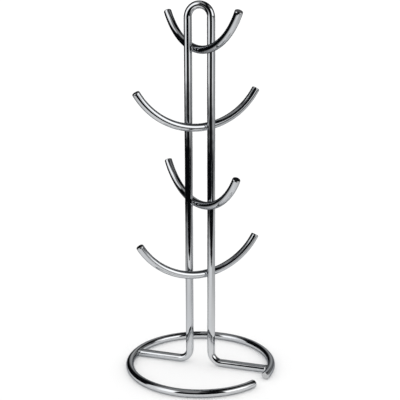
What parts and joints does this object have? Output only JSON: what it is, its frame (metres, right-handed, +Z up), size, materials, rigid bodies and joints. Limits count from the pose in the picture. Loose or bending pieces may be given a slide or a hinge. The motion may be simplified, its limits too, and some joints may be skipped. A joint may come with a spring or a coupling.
{
  "type": "mug tree",
  "caption": "Chromed wire mug tree: an upright hairpin stem on an open base ring, with curved double-ended arms that hold mugs by their handles.",
  "frame": {"origin": "centre of the base ring's width and depth, at table level", "axes": "+Z up; +X along the plane of the stem's hairpin, to the right as seen from the front; -Y to the front. The ring's gap is at the front right."},
  "size_m": [0.157, 0.157, 0.377],
  "materials": {
    "chrome_stem": "bright chrome plate on drawn steel rod",
    "chrome_ring": "bright chrome plate on drawn steel rod, faintly scuffed where it stands",
    "chrome_arms": "bright chrome plate on drawn steel rod, rubbed where handles hang",
    "weld_chrome": "chrome plate over a dressed resistance weld, slightly rippled"
  },
  "bodies": {
    "root": {"arm_bottom": "chrome_arms", "arm_lower": "chrome_arms", "arm_top": "chrome_arms", "arm_upper": "chrome_arms", "base_ring": "chrome_ring", "stem_hairpin": "chrome_stem", "weld_arm_bottom_left": "weld_chrome", "weld_arm_bottom_right": "weld_chrome", "weld_arm_lower_left": "weld_chrome", "weld_arm_lower_right": "weld_chrome", "weld_arm_top_left": "weld_chrome", "weld_arm_top_right": "weld_chrome", "weld_arm_upper_left": "weld_chrome", "weld_arm_upper_right": "weld_chrome", "weld_foot_left": "weld_chrome", "weld_foot_right": "weld_chrome"}
  },
  "joints": []
}
